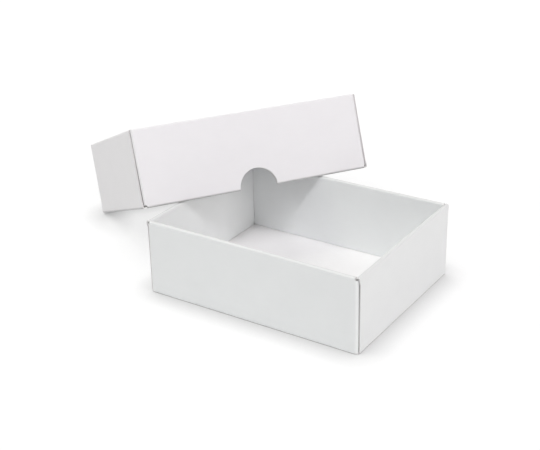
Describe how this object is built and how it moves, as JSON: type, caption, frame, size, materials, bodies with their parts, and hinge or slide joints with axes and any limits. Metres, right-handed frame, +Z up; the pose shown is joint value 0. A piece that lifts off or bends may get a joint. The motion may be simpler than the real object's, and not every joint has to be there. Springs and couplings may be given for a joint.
{
  "type": "gift box",
  "caption": "Plain white gift box of folded boxboard with rolled double walls, its lift-off lid leaning open over a corner of the tray and thumb-notched in the long walls.",
  "frame": {"origin": "centre of the tray's underside, on the surface that the box stands on", "axes": "+X along the tray's long walls to the right, +Y from its front long wall to its back one, +Z up"},
  "size_m": [0.18, 0.1441, 0.064],
  "materials": {
    "tray_board": "matte",
    "lid_board": "matte"
  },
  "bodies": {
    "tray": {"tray": "tray_board"},
    "lid": {"lid": "lid_board"}
  },
  "joints": [
    {"name": "lid_lift", "type": "slide", "parent": "tray", "child": "lid", "axis": [0, 0, 1], "range_m": [0, 0.08]}
  ]
}
